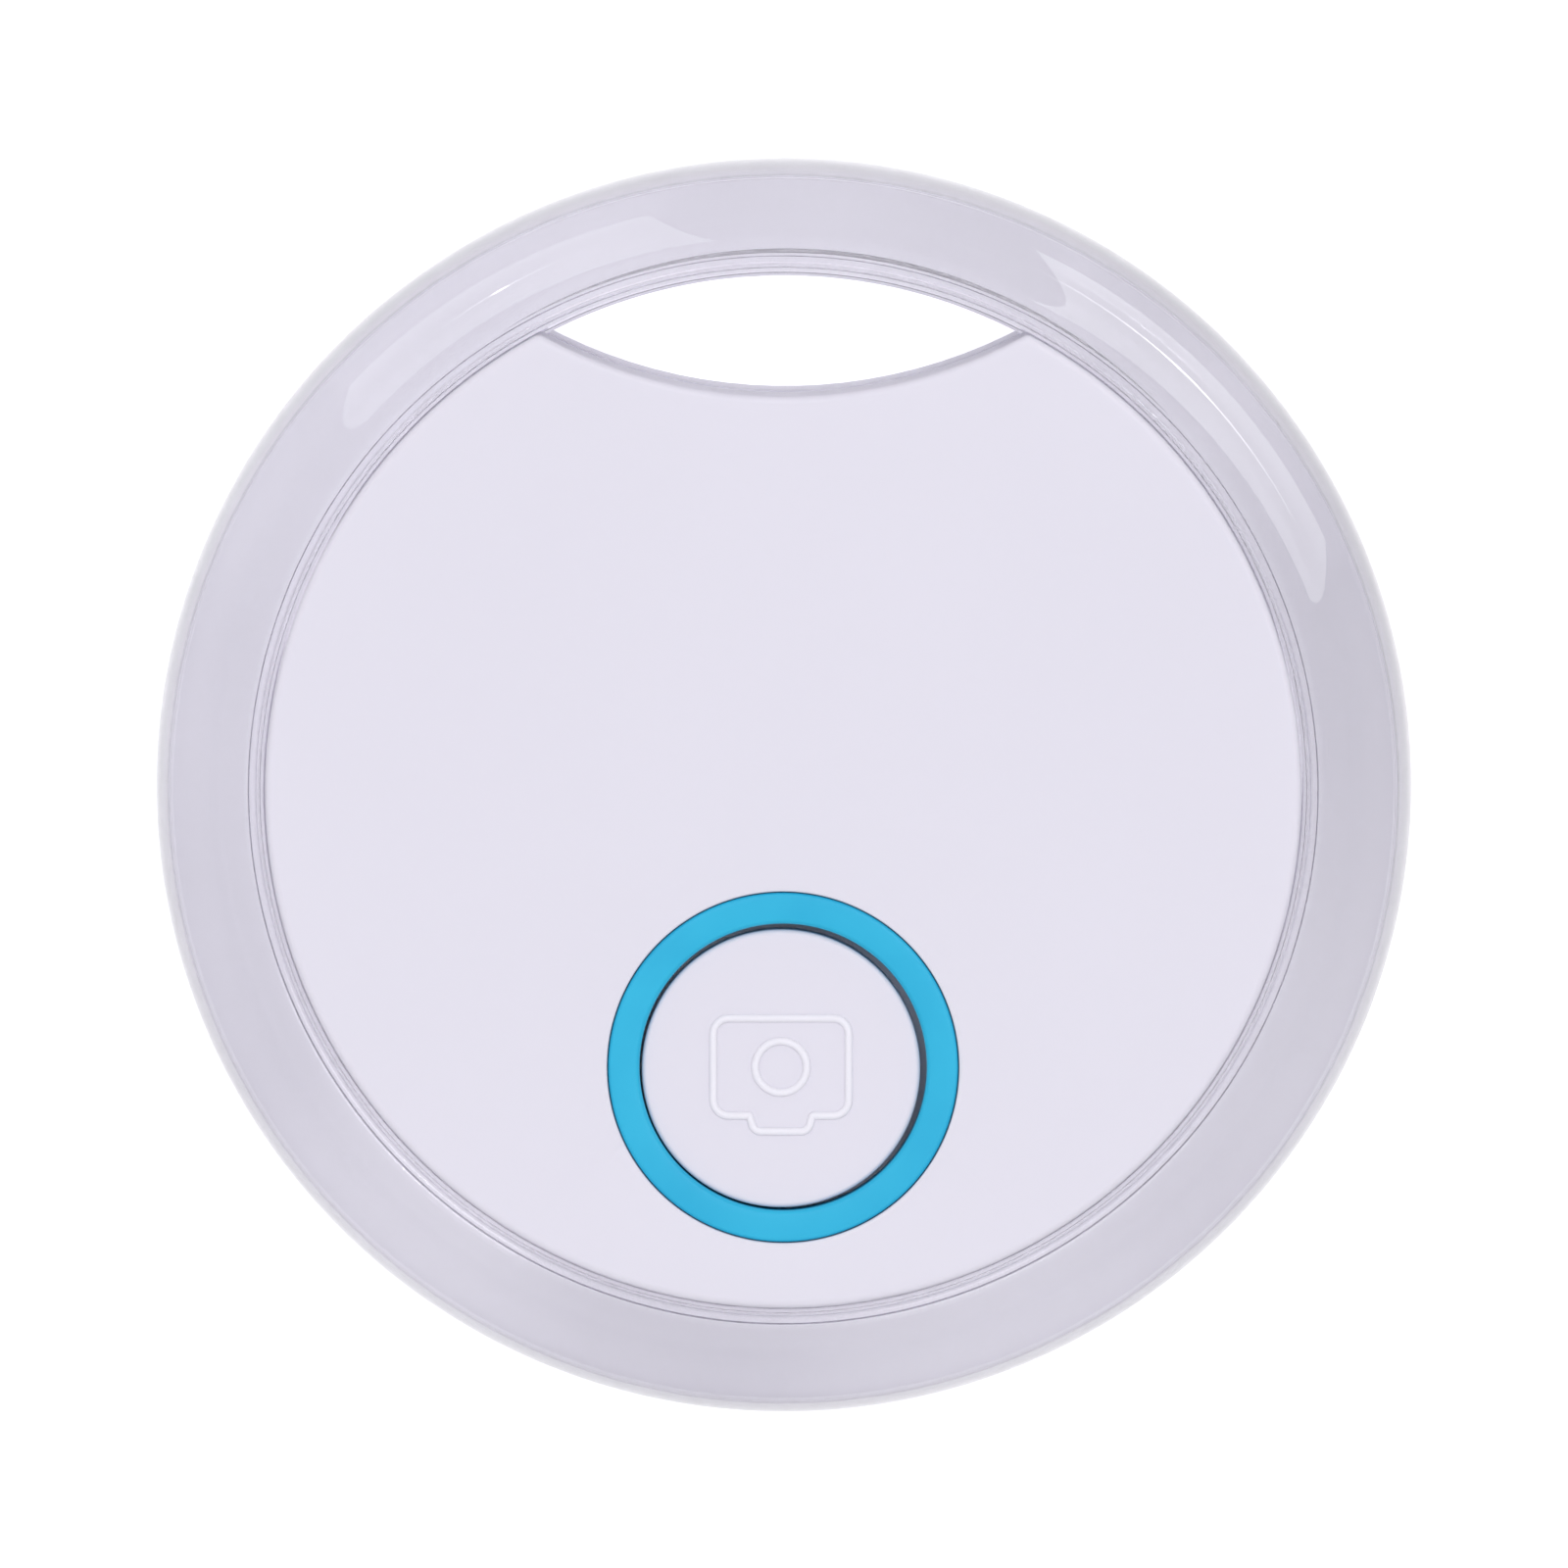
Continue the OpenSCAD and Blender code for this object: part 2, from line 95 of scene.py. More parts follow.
# Button: blue ring, cap and camera symbol
BUTTON_Y = (ACCENT_LOW.y + ACCENT_HIGH.y) / 2
ACCENT_RO = 5.56
ACCENT_RI = 4.56
ACCENT_FIT = 0.03
CAP_R = 4.42
CAP_X = (CAP_LOW.x + CAP_HIGH.x) / 2
CAP_Y = (CAP_LOW.y + CAP_HIGH.y) / 2
CAP_TOP = CASE_T - 0.27
CAP_WALL = 0.85
CAP_FLANGE_T = 0.31
CAP_POST_R = 1.2
FLANGE_OUT = 0.5
FLANGE_PLAY = 0.02
POST_PLAY = 0.01
BUTTON_SEGMENTS = 384
SYMBOL_Y = CAP_Y + 0.05
SYMBOL_LINE = 0.26
SYMBOL_H = 0.1
LENS_R = 0.82

# Painted light and shade on the clear plastic's colour: change per metre towards +X and +Y (painted
# shade, darker that way), then its change over a band of radius in metres, as (from, to, factor at the
# first, factor at the second); painted light at the bore, painted shade at the rim
PAINTED_SHADE_LEAN = (-4.3, -2.5)
PAINTED_LIGHT_BORE = (0.0169, 0.0172, 1.18, 1.0)
PAINTED_SHADE_RIM = (0.0194, 0.0198, 1.0, 0.62)

# Softboxes as patches of sky: corners as (azimuth clockwise from the lanyard eye, angle from
# straight above), in degrees
SOFTBOXES = (((38.0, 5.0), (81.0, 15.0), (69.0, 43.5), (26.5, 41.5)),
             ((-61.0, 12.0), (-12.0, 8.5), (-15.0, 37.0), (-51.0, 40.0)))
SOFTBOX_POWERS = (2.3, 1.35)
SOFTBOX_EDGE = 0.3
# Sky strength at the horizon and overhead
SKY_LEVELS = (0.5, 1.05)
# Thin lamps: middle as (azimuth, angle from above), half length, half thickness, strength
TUBES = (((48.0, 28.0), 24.0, 0.8, 12.0), ((48.0, 28.0), 5.0, 1.0, 20.0),
         ((-34.0, 25.0), 10.0, 0.6, 5.0), ((-34.0, 25.0), 1.5, 1.2, 20.0))

# Area lamps, floor and camera, in metres and degrees; FLOOR_GAP is below the tag's rear face
LAMP_SIZE = (0.20, 0.30)
LAMP_DISTANCE = 0.45
LAMP_OFF_AXIS = 40
FLOOR_SIZE = 3.0
FLOOR_GAP = 0.00002
CAMERA_DISTANCE = 0.9
CAMERA_DRIFT = 0.4                   # camera's turn about the front's middle towards +X
CAMERA_LEAN = 3.15                   # and towards the lanyard eye
PICTURE_WIDTH = 2.499                # picture's width, in ring radii


# ---- mesh helpers ----

def arc(cx, cy, r, start, end, steps):
    """Points on an arc, both ends included; angles in degrees."""
    points = []
    for i in range(steps + 1):
        a = math.radians(start + (end - start) * i / steps)
        points.append((cx + r * math.cos(a), cy + r * math.sin(a)))
    return points


def finish_mesh(bm, name, material, body, angle=35.0):
    """Turns a bmesh in millimetres into a piece that rides on a body, smooth with crisp edges."""
    bmesh.ops.remove_doubles(bm, verts=bm.verts, dist=1e-5)
    bmesh.ops.recalc_face_normals(bm, faces=bm.faces)
    bmesh.ops.scale(bm, vec=(MM, MM, MM), verts=bm.verts)
    mesh = bpy.data.meshes.new(name)
    bm.to_mesh(mesh)
    bm.free()
    obj = bpy.data.objects.new(name, mesh)
    bpy.context.scene.collection.objects.link(obj)
    mesh.materials.append(material)
    soften(obj, angle)
    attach(obj, body)
    return obj


def soften(obj, angle=35.0):
    """Smooth shading with sharp edges above the angle, and flat faces kept flat."""
    mesh = obj.data
    mesh.polygons.foreach_set("use_smooth", [True] * len(mesh.polygons))
    mesh.set_sharp_from_angle(angle=math.radians(angle))
    weigh = obj.modifiers.new("flat_faces_stay_flat", "WEIGHTED_NORMAL")
    weigh.keep_sharp = True


def lathe(profile, segments, centre=(0.0, 0.0)):
    """A bmesh made by turning a closed profile of (radius, height) round a vertical axis."""
    bm = bmesh.new()
    turns = [2 * math.pi * k / segments for k in range(segments)]
    rings = []
    for r, z in profile:
        if r < ON_AXIS:
            rings.append([bm.verts.new((centre[0], centre[1], z))] * segments)
            continue
        rings.append([bm.verts.new((centre[0] + r * math.cos(a), centre[1] + r * math.sin(a), z))
                      for a in turns])
    count = len(profile)
    for i in range(count):
        low, high = rings[i], rings[(i + 1) % count]
        for k in range(segments):
            corners = [low[k], low[(k + 1) % segments], high[(k + 1) % segments], high[k]]
            distinct = list(dict.fromkeys(corners))
            if len(distinct) > 2:
                bm.faces.new(distinct)
    return bm


# ---- material helpers ----

def new_material(name):
    """A new node material, with its tree and its Principled shader."""
    material = bpy.data.materials.new(name)
    material.use_nodes = True
    tree = material.node_tree
    shader = tree.nodes["Principled BSDF"]
    return material, tree, shader


def noise(tree, scale, detail=2.0, rough=0.5):
    """A noise texture over the object's own metres; scale is in cycles per metre."""
    place = tree.nodes.new("ShaderNodeTexCoord")
    texture = tree.nodes.new("ShaderNodeTexNoise")
    texture.inputs["Scale"].default_value = scale
    texture.inputs["Detail"].default_value = detail
    texture.inputs["Roughness"].default_value = rough
    tree.links.new(place.outputs["Object"], texture.inputs["Vector"])
    return texture.outputs["Fac"]


def ramp(tree, value, low, high, colour_low, colour_high):
    """A value turned into a colour between two stops."""
    node = tree.nodes.new("ShaderNodeValToRGB")
    stops = node.color_ramp.elements
    stops[0].position = low
    stops[0].color = (*colour_low, 1.0)
    stops[1].position = high
    stops[1].color = (*colour_high, 1.0)
    tree.links.new(value, node.inputs["Fac"])
    return node.outputs["Color"]


def spread(tree, value, low, high):
    """A 0 to 1 value mapped onto a range."""
    node = tree.nodes.new("ShaderNodeMapRange")
    node.inputs["To Min"].default_value = low
    node.inputs["To Max"].default_value = high
    tree.links.new(value, node.inputs["Value"])
    return node.outputs["Result"]


def calculate(tree, operation, first, second=None):
    """A math node over two values, each a socket or a number."""
    node = tree.nodes.new("ShaderNodeMath")
    node.operation = operation
    for socket, value in zip(node.inputs, (first, second)):
        if isinstance(value, (int, float)):
            socket.default_value = value
        elif value is not None:
            tree.links.new(value, socket)
    return node.outputs["Value"]


def bump(tree, shader, height, distance, strength):
    """Bump on a shader, from a height."""
    node = tree.nodes.new("ShaderNodeBump")
    node.inputs["Distance"].default_value = distance
    node.inputs["Strength"].default_value = strength
    tree.links.new(height, node.inputs["Height"])
    tree.links.new(node.outputs["Normal"], shader.inputs["Normal"])


def white_plastic(name, tone):
    """Moulded white plastic: a fine spark-eroded grain, faint mottling and a soft sheen."""
    material, tree, shader = new_material(name)
    mottle = noise(tree, 90.0, detail=3.0)
    dark = tuple(c * 0.985 for c in tone)
    tree.links.new(ramp(tree, mottle, 0.3, 0.7, dark, tone), shader.inputs["Base Color"])
    grain = noise(tree, 5200.0, detail=3.0, rough=0.6)
    tree.links.new(spread(tree, grain, 0.42, 0.56), shader.inputs["Roughness"])
    bump(tree, shader, grain, 0.000006, 0.35)
    shader.inputs["Subsurface Weight"].default_value = 0.12
    shader.inputs["Subsurface Radius"].default_value = (1.0, 0.9, 0.85)
    shader.inputs["Subsurface Scale"].default_value = 0.0006
    shader.inputs["Specular IOR Level"].default_value = 0.4
    return material


def painted_light_and_shade(tree, cloud):
    """A cloudy colour with painted shade, darker towards +X and +Y, painted light at the bore and
    painted shade at the rim.
    """
    place = tree.nodes.new("ShaderNodeTexCoord")
    split = tree.nodes.new("ShaderNodeSeparateXYZ")
    tree.links.new(place.outputs["Object"], split.inputs["Vector"])
    x, y = split.outputs["X"], split.outputs["Y"]
    strength = calculate(tree, "ADD", calculate(tree, "MULTIPLY", x, PAINTED_SHADE_LEAN[0]),
                         calculate(tree, "MULTIPLY", y, PAINTED_SHADE_LEAN[1]))
    strength = calculate(tree, "ADD", strength, 1.0)
    squares = calculate(tree, "ADD", calculate(tree, "POWER", x, 2.0), calculate(tree, "POWER", y, 2.0))
    radius = calculate(tree, "SQRT", squares)
    for start, end, at_start, at_end in (PAINTED_LIGHT_BORE, PAINTED_SHADE_RIM):
        edge = tree.nodes.new("ShaderNodeMapRange")
        edge.inputs["From Min"].default_value = start
        edge.inputs["From Max"].default_value = end
        edge.inputs["To Min"].default_value = at_start
        edge.inputs["To Max"].default_value = at_end
        tree.links.new(radius, edge.inputs["Value"])
        strength = calculate(tree, "MULTIPLY", strength, edge.outputs["Result"])
    shaded_cloud = tree.nodes.new("ShaderNodeVectorMath")
    shaded_cloud.operation = "SCALE"
    tree.links.new(cloud, shaded_cloud.inputs["Vector"])
    tree.links.new(strength, shaded_cloud.inputs["Scale"])
    return shaded_cloud.outputs["Vector"]


def clear_plastic(name):
    """Clear polycarbonate with a faint lavender cast: a cloudy tint with painted light at the bore and
    painted shade at the rim and towards +X and +Y, haze and flow ripples.

    Shadow rays pass straight through, so that light reaches the case and the floor.
    """
    material, tree, shader = new_material(name)
    cloud = ramp(tree, noise(tree, 75.0, detail=1.0), 0.38, 0.62, (0.612, 0.597, 0.657),
                 (0.682, 0.667, 0.726))
    # Base colour: the random cloud with painted shade towards +X and +Y and at the rim, and painted
    # light at the bore
    tree.links.new(painted_light_and_shade(tree, cloud), shader.inputs["Base Color"])
    shader.inputs["Transmission Weight"].default_value = 0.8
    shader.inputs["IOR"].default_value = 1.52
    haze = noise(tree, 420.0, detail=4.0)
    tree.links.new(spread(tree, haze, 0.004, 0.012), shader.inputs["Roughness"])
    ripple = noise(tree, 160.0, detail=1.0)
    bump(tree, shader, ripple, 0.00002, 0.05)
    output = tree.nodes["Material Output"]
    through = tree.nodes.new("ShaderNodeBsdfTransparent")
    through.inputs["Color"].default_value = (0.93, 0.925, 0.95, 1.0)
    path = tree.nodes.new("ShaderNodeLightPath")
    mix = tree.nodes.new("ShaderNodeMixShader")
    tree.links.new(path.outputs["Is Shadow Ray"], mix.inputs["Fac"])
    tree.links.new(shader.outputs["BSDF"], mix.inputs[1])
    tree.links.new(through.outputs["BSDF"], mix.inputs[2])
    tree.links.new(mix.outputs["Shader"], output.inputs["Surface"])
    return material


def accent_plastic(name):
    """Sky-blue satin plastic with a fine grain and a slightly uneven pigment."""
    material, tree, shader = new_material(name)
    pigment = noise(tree, 260.0, detail=3.0)
    tree.links.new(ramp(tree, pigment, 0.3, 0.7, (0.012, 0.375, 0.62), (0.020, 0.430, 0.67)),
                   shader.inputs["Base Color"])
    grain = noise(tree, 4200.0, detail=2.0)
    tree.links.new(spread(tree, grain, 0.34, 0.46), shader.inputs["Roughness"])
    bump(tree, shader, grain, 0.000004, 0.3)
    shader.inputs["Specular IOR Level"].default_value = 0.32
    return material


def plain_plastic(name, tone, rough):
    """Dull engineering plastic with a moulded grain."""
    material, tree, shader = new_material(name)
    grain = noise(tree, 3000.0, detail=4.0)
    dark = tuple(c * 0.75 for c in tone)
    tree.links.new(ramp(tree, grain, 0.3, 0.7, dark, tone), shader.inputs["Base Color"])
    tree.links.new(spread(tree, grain, rough - 0.08, rough + 0.08), shader.inputs["Roughness"])
    bump(tree, shader, grain, 0.00001, 0.4)
    return material


def worn_metal(name, tone, rough):
    """Rolled or plated metal: fine scratches, smudges and a slightly uneven tone."""
    material, tree, shader = new_material(name)
    place = tree.nodes.new("ShaderNodeTexCoord")
    stretch = tree.nodes.new("ShaderNodeMapping")
    stretch.inputs["Scale"].default_value = (1.0, 14.0, 1.0)
    scratches = tree.nodes.new("ShaderNodeTexNoise")
    scratches.inputs["Scale"].default_value = 900.0
    scratches.inputs["Detail"].default_value = 6.0
    tree.links.new(place.outputs["Object"], stretch.inputs["Vector"])
    tree.links.new(stretch.outputs["Vector"], scratches.inputs["Vector"])
    smudge = noise(tree, 220.0, detail=3.0)
    dull = tuple(c * 0.82 for c in tone)
    tree.links.new(ramp(tree, smudge, 0.3, 0.75, dull, tone), shader.inputs["Base Color"])
    tree.links.new(spread(tree, scratches.outputs["Fac"], rough - 0.08, rough + 0.12),
                   shader.inputs["Roughness"])
    bump(tree, shader, scratches.outputs["Fac"], 0.000004, 0.3)
    shader.inputs["Metallic"].default_value = 1.0
    return material


def board_laminate(name):
    """Green solder mask with a woven glass ground showing faintly through."""
    material, tree, shader = new_material(name)
    place = tree.nodes.new("ShaderNodeTexCoord")
    weave = tree.nodes.new("ShaderNodeTexChecker")
    weave.inputs["Scale"].default_value = 2400.0
    weave.inputs["Color1"].default_value = (0.012, 0.130, 0.045, 1.0)
    weave.inputs["Color2"].default_value = (0.016, 0.160, 0.058, 1.0)
    tree.links.new(place.outputs["Object"], weave.inputs["Vector"])
    tree.links.new(weave.outputs["Color"], shader.inputs["Base Color"])
    gloss = noise(tree, 700.0, detail=3.0)
    tree.links.new(spread(tree, gloss, 0.25, 0.4), shader.inputs["Roughness"])
    bump(tree, shader, weave.outputs["Fac"], 0.000004, 0.3)
    return material


WHITE = white_plastic("white_moulded", (0.688, 0.668, 0.748))
# A brighter copy of the white plastic for the camera symbol's beads: painted highlight, standing in for
# light falling on the raised beads
WHITE_PAINTED_HIGHLIGHT = white_plastic("white_bead_painted_highlight", (0.80, 0.78, 0.85))
CLEAR = clear_plastic("clear_moulded")
ACCENT = accent_plastic("accent_blue")
RUBBER = plain_plastic("seal_rubber", (0.03, 0.03, 0.032), 0.6)
GREY = plain_plastic("grey_polymer", (0.16, 0.16, 0.17), 0.5)
BLACK = plain_plastic("chip_black", (0.025, 0.025, 0.028), 0.45)
STEEL = worn_metal("cell_steel", (0.74, 0.73, 0.71), 0.28)
SCREW = worn_metal("screw_steel", (0.55, 0.55, 0.56), 0.32)
GOLD = worn_metal("contact_gold", (0.90, 0.66, 0.30), 0.25)
COPPER = worn_metal("trace_copper", (0.80, 0.45, 0.20), 0.3)
BRASS = worn_metal("brass_plate", (0.80, 0.60, 0.27), 0.3)
BOARD = board_laminate("board_laminate")
TAN = plain_plastic("chip_tan", (0.50, 0.36, 0.22), 0.45)
CERAMIC = plain_plastic("piezo_ceramic", (0.78, 0.75, 0.66), 0.5)
GLUE = plain_plastic("glue_pad", (0.75, 0.70, 0.50), 0.6)
LEAD = plain_plastic("lead_red", (0.50, 0.03, 0.03), 0.35)
LIGHT_BODY = plain_plastic("led_body", (0.85, 0.88, 0.84), 0.25)

CAD_LOOKS = {
    "rear_shell": WHITE,
    "battery_door": WHITE,
    "door_seal": RUBBER,
    "cell_can": STEEL,
    "cell_gasket": GREY,
    "cell_cap": STEEL,
    "circuit_board": BOARD,
    "board_screws": SCREW,
    "radio_chip": BLACK,
    "crystal_can": STEEL,
    "antenna_trace": COPPER,
    "chip_passives": TAN,
    "status_led": LIGHT_BODY,
    "switch_base": GREY,
    "switch_dome": STEEL,
    "switch_stem": BLACK,
    "switch_cover": STEEL,
    "buzzer_plate": BRASS,
    "buzzer_ceramic": CERAMIC,
    "buzzer_glue": GLUE,
    "buzzer_leads": LEAD,
    "contact_positive": GOLD,
    "contact_negative": GOLD,
}


def dress_cad_nodes():
    """Gives the CAD nodes that stay their materials and clean shading."""
    for node, material in CAD_LOOKS.items():
        obj = NODES[node]
        obj.data.materials.clear()
        obj.data.materials.append(material)
        soften(obj, 30.0)


# ---- pieces that replace CAD nodes with finer surfaces ----

def ring_half_profile():
    """The clear ring's section above the middle: bore, groove, dome, fillet, bowed flank and flat."""
    dome = Vector((DOME_X, RING_TOP - DOME_R))
    flank = Vector((RING_R - FLANK_R, MID_Z + RIM_FLAT / 2))
    reach_dome, reach_flank = DOME_R - RIM_FILLET, FLANK_R - RIM_FILLET
    span = (flank - dome).length
    way = (flank - dome) / span
    along = (reach_dome ** 2 - reach_flank ** 2 + span ** 2) / (2 * span)
    across = math.sqrt(reach_dome ** 2 - along ** 2)
    fillet = dome + way * along + Vector((way.y, -way.x)) * across
    dome_end = math.degrees(math.atan2(fillet.y - dome.y, fillet.x - dome.x))
    flank_end = math.degrees(math.atan2(fillet.y - flank.y, fillet.x - flank.x))
    groove_edge_drop = 0.02
    groove_turn = math.degrees(math.asin(groove_edge_drop / GROOVE_R))
    tongue_x = BORE_R - TONGUE_IN
    tongue_top = MID_Z + TONGUE_H / 2
    chamfer = 0.08
    bore_chamfer = 0.05
    land = 0.03
    points = [(tongue_x, tongue_top - chamfer), (tongue_x + chamfer, tongue_top)]
    points += [(BORE_R, tongue_top), (BORE_R, RING_TOP - bore_chamfer)]
    points += arc(GROOVE_X, RING_TOP, GROOVE_R, 180 + groove_turn, 360 - groove_turn, 16)
    start = math.degrees(math.acos((GROOVE_X + GROOVE_R + land - DOME_X) / DOME_R))
    points += arc(dome.x, dome.y, DOME_R, start, dome_end, 40)
    points += arc(fillet.x, fillet.y, RIM_FILLET, dome_end, flank_end, 20)[1:]
    points += arc(flank.x, flank.y, FLANK_R, flank_end, 0.0, 16)[1:]
    return points


def make_clear_ring():
    """The clear bumper ring, the same above and below the case's middle."""
    upper = ring_half_profile()
    lower = [(r, CASE_T - z) for r, z in reversed(upper)]
    bm = lathe(upper + lower, RING_SEGMENTS)
    ring = finish_mesh(bm, "clear_ring_moulding", CLEAR, "case", 40.0)
    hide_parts("clear_ring")


def outline(inset, tip):
    """The case's outline, set in by a distance, with its two tips beside the lanyard eye rounded."""
    body, bite = BODY_R - inset, BITE_R + inset
    reach, far = body - tip, bite + tip
    y = (reach ** 2 - far ** 2 + BITE_Y ** 2) / (2 * BITE_Y)
    x = math.sqrt(reach ** 2 - y ** 2)
    tip_angle = math.degrees(math.atan2(y, x))
    bite_angle = math.degrees(math.atan2(y - BITE_Y, x))
    points = arc(0.0, 0.0, body, 180 - tip_angle - 360, tip_angle, 360)
    points += arc(x, y, tip, tip_angle, bite_angle + 180, 10)[1:]
    points += arc(0.0, BITE_Y, bite, bite_angle, -180 - bite_angle, 96)[1:]
    points += arc(-x, y, tip, -bite_angle, 180 - tip_angle, 10)[1:-1]
    return points


def loop(bm, points, z):
    """New vertices along an outline, at one height."""
    return [bm.verts.new((x, y, z)) for x, y in points]


def bridge(bm, low, high):
    """Faces between two loops of the same length."""
    for k in range(len(low)):
        nxt = (k + 1) % len(low)
        bm.faces.new([low[k], low[nxt], high[nxt], high[k]])


def fill_between(bm, outer, inner):
    """Flat face between two loops."""
    edges = []
    for ring in (outer, inner):
        for k in range(len(ring)):
            pair = (ring[k], ring[(k + 1) % len(ring)])
            edges.append(bm.edges.get(pair) or bm.edges.new(pair))
    bmesh.ops.triangle_fill(bm, use_beauty=True, use_dissolve=False, edges=edges)


def make_front_shell():
    """White front shell: bitten outline, rebate for the tongue, rounded rim and the button's hole."""
    bm = bmesh.new()
    hole_r = ACCENT_RO + ACCENT_FIT
    chamfer = 0.07
    wall_z = CASE_T - FRONT_WALL
    rebate = TONGUE_IN + TONGUE_PLAY
    rebate_z = MID_Z + TONGUE_H / 2 + TONGUE_PLAY
    flat_start = 0.05
    stack = [(SIDE_WALL, MID_Z), (rebate, MID_Z), (rebate, rebate_z), (0.0, rebate_z)]
    stack += [(0.0, CASE_T - EDGE_R)]
    for i in range(1, 11):
        a = math.radians(9.0 * i)
        stack.append((EDGE_R * (1 - math.cos(a)), CASE_T - EDGE_R * (1 - math.sin(a))))
    stack.append((EDGE_R + flat_start, CASE_T))
    loops = []
    for inset, z in stack:
        tip = max(TIP_R - inset, SHARP_TIP)
        loops.append(loop(bm, outline(inset, tip), z))
    for low, high in zip(loops, loops[1:]):
        bridge(bm, low, high)
    hole = arc(0.0, BUTTON_Y, 1.0, 0, 360, 256)[:-1]

    def hole_loop(r, z):
        """A loop of the button's hole at a radius and height."""
        return loop(bm, [(x * r, BUTTON_Y + (y - BUTTON_Y) * r) for x, y in hole], z)

    rim = hole_loop(hole_r + chamfer, CASE_T)
    rounding = [hole_loop(hole_r + chamfer * (1 - math.sin(math.radians(t))),
                          CASE_T - chamfer * (1 - math.cos(math.radians(t)))) for t in (30, 60, 90)]
    foot = hole_loop(hole_r, wall_z)
    fill_between(bm, loops[-1], rim)
    for low, high in zip([rim] + rounding, rounding + [foot]):
        bridge(bm, low, high)
    ceiling = loop(bm, outline(SIDE_WALL, SHARP_TIP), wall_z)
    fill_between(bm, ceiling, foot)
    bridge(bm, ceiling, loops[0])
    shell = finish_mesh(bm, "front_shell_moulding", WHITE, "case", 30.0)
    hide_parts("front_shell")


def make_accent_ring():
    """Blue ring: a shallow crown between two rounded edges, with its flange under the front wall."""
    low, top = ACCENT_LOW.z, ACCENT_HIGH.z
    edge = 0.12
    lip = 0.16
    lip_z = top - lip - 0.02
    crown_from, crown_to = ACCENT_RI + 0.35, ACCENT_RO - 0.3
    flange_r = ACCENT_RO + FLANGE_OUT
    flange_top = CASE_T - FRONT_WALL - FLANGE_PLAY
    profile = [(ACCENT_RI, low), (ACCENT_RI, lip_z)]
    profile += arc(ACCENT_RI + lip, lip_z, lip, 180, 96, 10)[1:]
    profile += [(crown_from, top), (crown_to, top)]
    profile += arc(ACCENT_RO - edge, top - edge, edge, 90, 0, 8)
    profile += [(ACCENT_RO, flange_top), (flange_r, flange_top), (flange_r, low)]
    bm = lathe(profile, BUTTON_SEGMENTS, (0.0, BUTTON_Y))
    ring = finish_mesh(bm, "accent_ring_moulding", ACCENT, "case", 40.0)
    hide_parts("accent_ring")


def rounded_path(corners, steps=8):
    """A closed path through corners, each (x, y, rounding), with arcs at the corners."""
    points = []
    count = len(corners)
    for i in range(count):
        before, here, after = (Vector(corners[(i + k) % count][:2]) for k in (-1, 0, 1))
        r = corners[i][2]
        a, b = (before - here).normalized(), (after - here).normalized()
        half = a.angle(b) / 2
        cut = r / math.tan(half)
        start, end = here + a * cut, here + b * cut
        centre = here + (a + b).normalized() * (r / math.sin(half))
        from_angle = math.atan2(start.y - centre.y, start.x - centre.x)
        turn = math.atan2(end.y - centre.y, end.x - centre.x) - from_angle
        turn = (turn + math.pi) % (2 * math.pi) - math.pi
        for k in range(steps + 1):
            t = from_angle + turn * k / steps
            points.append((centre.x + r * math.cos(t), centre.y + r * math.sin(t)))
    return points


def bead(path, name):
    """A raised bead with a round back, laid along a closed path on the cap's top, in the brighter white
    whose extra lightness is a painted highlight.
    """
    bm = bmesh.new()
    across = [(-0.5, -0.35), (-0.5, 0.0), (-0.42, 0.42), (-0.25, 0.82), (0.0, 1.0), (0.25, 0.82),
              (0.42, 0.42), (0.5, 0.0), (0.5, -0.35)]
    rings = []
    count = len(path)
    for i in range(count):
        here = Vector(path[i])
        ahead = (Vector(path[(i + 1) % count]) - Vector(path[i - 1])).normalized()
        side = Vector((ahead.y, -ahead.x))
        rings.append([bm.verts.new((*(here + side * (u * SYMBOL_LINE)), CAP_TOP + v * SYMBOL_H))
                      for u, v in across])
    for i in range(count):
        low, high = rings[i], rings[(i + 1) % count]
        for k in range(len(across)):
            nxt = (k + 1) % len(across)
            bm.faces.new([low[k], low[nxt], high[nxt], high[k]])
    piece = finish_mesh(bm, name, WHITE_PAINTED_HIGHLIGHT, "button", 60.0)


